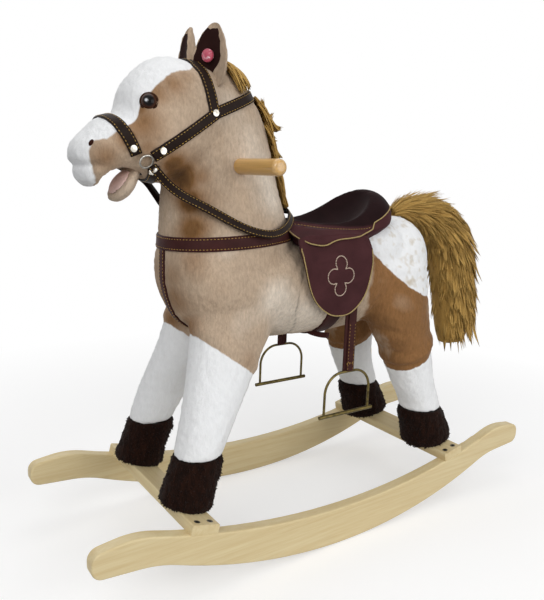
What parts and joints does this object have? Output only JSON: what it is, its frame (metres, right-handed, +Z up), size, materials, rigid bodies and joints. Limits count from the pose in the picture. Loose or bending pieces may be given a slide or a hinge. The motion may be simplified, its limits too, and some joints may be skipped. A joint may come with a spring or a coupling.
{
  "type": "rocking horse",
  "caption": "Plush rocking horse on curved wooden rockers, with saddle, bridle, grab handle, stirrups that swing, and a jaw and tail moved by an ear button.",
  "frame": {"origin": "on the floor, under the lowest point of the rockers, midway between them", "axes": "+X to the horse's head, +Y to the horse's left, +Z up"},
  "size_m": [0.755, 0.29, 0.6849],
  "materials": {
    "pine": "clear satin lacquer",
    "handle_wood": "clear satin lacquer",
    "frame_wood": "sawn, bare",
    "dark_screw": "black oxide",
    "zinc_steel": "zinc plated",
    "tan_plush": "short plush pile",
    "hoof_plush": "short plush pile",
    "pink_plush": "short plush pile",
    "brown_plush": "short plush pile",
    "hair": "long synthetic hair",
    "strap_leather": "dark brown with gold stitching",
    "saddle_leather": "dark maroon with gold piping",
    "antique_brass": "antique brass",
    "nickel": "nickel plated",
    "eye_gloss": "polished black",
    "nose_plastic": "dull brown",
    "case_plastic": "matt grey",
    "cell_metal": "plain sleeve"
  },
  "bodies": {
    "horse": {"rocker_left": "pine", "rocker_right": "pine", "front_slat": "pine", "rear_slat": "pine", "grab_handle": "handle_wood", "spine_board": "frame_wood", "leg_posts": "frame_wood", "neck_board": "frame_wood", "slat_screws": "dark_screw", "leg_bolts": "zinc_steel", "jaw_pin": "zinc_steel", "tail_pin": "zinc_steel", "body": "tan_plush", "neck": "tan_plush", "head": "tan_plush", "front_left_leg": "tan_plush", "front_right_leg": "tan_plush", "rear_left_leg": "tan_plush", "rear_right_leg": "tan_plush", "left_ear": "tan_plush", "right_ear": "tan_plush", "front_left_hoof": "hoof_plush", "front_right_hoof": "hoof_plush", "rear_left_hoof": "hoof_plush", "rear_right_hoof": "hoof_plush", "mouth_lining": "pink_plush", "ear_linings": "brown_plush", "mane": "hair", "poll_tuft": "hair", "noseband": "strap_leather", "browband": "strap_leather", "nape_strap": "strap_leather", "chin_strap": "strap_leather", "cheek_strap_left": "strap_leather", "cheek_strap_right": "strap_leather", "breast_collar": "strap_leather", "chest_strap": "strap_leather", "girth": "strap_leather", "reins": "strap_leather", "saddle_seat": "saddle_leather", "saddle_flap_left": "saddle_leather", "saddle_flap_right": "saddle_leather", "bridle_rings": "nickel", "bridle_rivets": "nickel", "eyes": "eye_gloss", "nostrils": "nose_plastic", "sound_case": "case_plastic", "battery_cover": "case_plastic", "speaker": "case_plastic", "jaw_gear_unit": "case_plastic", "tail_gear_unit": "case_plastic", "battery_cells": "cell_metal"},
    "jaw": {"lower_jaw": "tan_plush", "tongue_pad": "pink_plush"},
    "tail": {"tail": "hair"},
    "ear_button": {"ear_button": "pink_plush"},
    "leather_left": {"stirrup_leather_left": "strap_leather"},
    "leather_right": {"stirrup_leather_right": "strap_leather"},
    "stirrup_left": {"stirrup_left": "antique_brass"},
    "stirrup_right": {"stirrup_right": "antique_brass"}
  },
  "joints": [
    {"name": "jaw_hinge", "type": "hinge", "parent": "horse", "child": "jaw", "pos_m": [0.27, 0, 0.509], "axis": [0, 1, 0], "range_deg": [-18, 4]},
    {"name": "tail_swish", "type": "hinge", "parent": "horse", "child": "tail", "pos_m": [-0.188, 0, 0.446], "axis": [0, 0, 1], "range_deg": [-20, 20]},
    {"name": "ear_press", "type": "slide", "parent": "horse", "child": "ear_button", "axis": [-0.891, -0.454, 0], "range_m": [0, 0.002], "stiffness_N_per_m": 300},
    {"name": "leather_left_swing", "type": "hinge", "parent": "horse", "child": "leather_left", "pos_m": [-0.023, 0.083, 0.366], "axis": [0, 1, 0], "range_deg": [-30, 14]},
    {"name": "stirrup_left_swing", "type": "hinge", "parent": "leather_left", "child": "stirrup_left", "pos_m": [-0.023, 0.083, 0.233], "axis": [1, 0, 0], "range_deg": [-40, 60]},
    {"name": "leather_right_swing", "type": "hinge", "parent": "horse", "child": "leather_right", "pos_m": [-0.023, -0.083, 0.366], "axis": [0, 1, 0], "range_deg": [-30, 14]},
    {"name": "stirrup_right_swing", "type": "hinge", "parent": "leather_right", "child": "stirrup_right", "pos_m": [-0.023, -0.083, 0.233], "axis": [-1, 0, 0], "range_deg": [-40, 60]}
  ]
}
